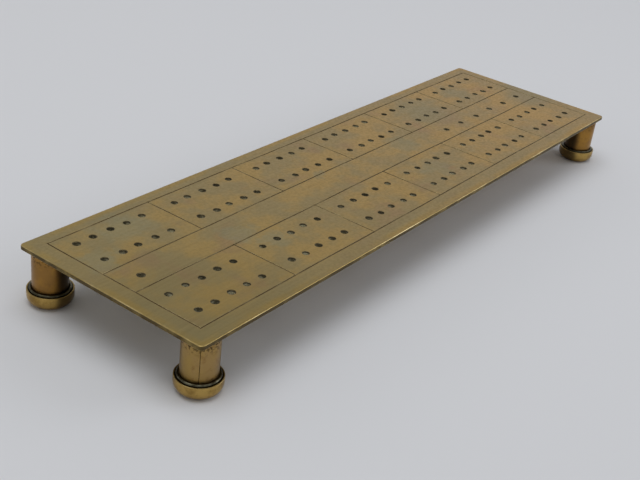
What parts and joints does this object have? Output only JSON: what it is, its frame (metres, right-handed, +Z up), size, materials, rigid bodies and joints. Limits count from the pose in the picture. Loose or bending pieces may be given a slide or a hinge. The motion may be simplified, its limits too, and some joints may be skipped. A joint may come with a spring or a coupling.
{
  "type": "cribbage board",
  "caption": "Long flat brass cribbage board with scribed cells and a middle lane, drilled peg holes, and a short turned foot under each corner.",
  "frame": {"origin": "on the surface that the board stands on, under the middle of the board", "axes": "+X along the length, +Y across the width, +Z up out of the drilled face"},
  "size_m": [0.2686, 0.0794, 0.0206],
  "materials": {
    "plate_brass": "satin polished sheet brass with an aged, blotchy olive and golden patina",
    "column_brass": "rolled and soldered brass tube, satin, warmer and browner than the plate",
    "base_brass": "turned brass, worn bright on the lip and bowl, dark tarnish in the dish",
    "fixing_brass": "turned brass boss and slotted screw, dull"
  },
  "bodies": {
    "root": {"board_plate": "plate_brass", "foot_column_front_left": "column_brass", "foot_ring_front_left": "base_brass", "foot_base_front_left": "base_brass", "foot_boss_front_left": "fixing_brass", "foot_screw_front_left": "fixing_brass", "foot_column_front_right": "column_brass", "foot_ring_front_right": "base_brass", "foot_base_front_right": "base_brass", "foot_boss_front_right": "fixing_brass", "foot_screw_front_right": "fixing_brass", "foot_column_back_left": "column_brass", "foot_ring_back_left": "base_brass", "foot_base_back_left": "base_brass", "foot_boss_back_left": "fixing_brass", "foot_screw_back_left": "fixing_brass", "foot_column_back_right": "column_brass", "foot_ring_back_right": "base_brass", "foot_base_back_right": "base_brass", "foot_boss_back_right": "fixing_brass", "foot_screw_back_right": "fixing_brass"}
  },
  "joints": []
}
